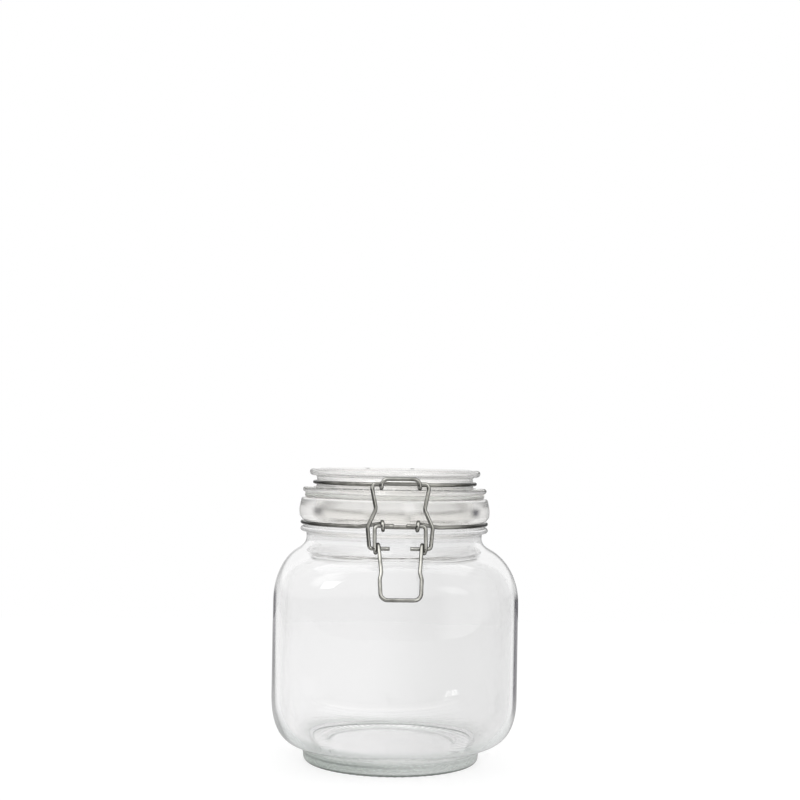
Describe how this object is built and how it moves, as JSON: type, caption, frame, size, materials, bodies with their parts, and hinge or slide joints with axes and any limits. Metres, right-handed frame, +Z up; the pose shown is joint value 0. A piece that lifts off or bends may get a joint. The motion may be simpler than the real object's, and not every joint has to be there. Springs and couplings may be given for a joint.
{
  "type": "clip-top glass jar",
  "caption": "Square-shouldered clear glass storage jar with a round neck, a glass lid on a rubber seal, and a wire swing clamp with a hinge at the back.",
  "frame": {"origin": "on the jar's axis, in the plane of the ring that it stands on", "axes": "+Z up along the jar's axis, -Y to the front where the clamp is, +X to the right seen from the front"},
  "size_m": [0.114, 0.1201, 0.139],
  "materials": {
    "jar_glass": "clear pressed glass with a faint green-grey cast in the thick parts",
    "lid_glass": "clear pressed glass",
    "seal_rubber": "translucent white rubber",
    "clamp_wire": "drawn stainless steel wire, bright, with fine lines along it"
  },
  "bodies": {
    "jar_and_hoop": {"jar": "jar_glass", "neck_hoop": "clamp_wire"},
    "lid_and_seal": {"lid": "lid_glass", "seal": "seal_rubber", "lid_hoop": "clamp_wire"},
    "lever": {"lever": "clamp_wire"},
    "bail": {"bail": "clamp_wire"}
  },
  "joints": [
    {"name": "lid_hinge", "type": "hinge", "parent": "jar_and_hoop", "child": "lid_and_seal", "pos_m": [0, 0.0483, 0.1143], "axis": [-1, 0, 0], "range_deg": [0, 135]},
    {"name": "lever_pivot", "type": "hinge", "parent": "jar_and_hoop", "child": "lever", "pos_m": [0, -0.0483, 0.1143], "axis": [-1, 0, 0], "range_deg": [0, 120]},
    {"name": "bail_pivot", "type": "hinge", "parent": "lever", "child": "bail", "pos_m": [0, -0.0495, 0.1042], "axis": [1, 0, 0], "range_deg": [0, 86.4]}
  ],
  "couplings": [
    {"joint": "bail_pivot", "follows": "lever_pivot", "ratio": 0.72}
  ]
}
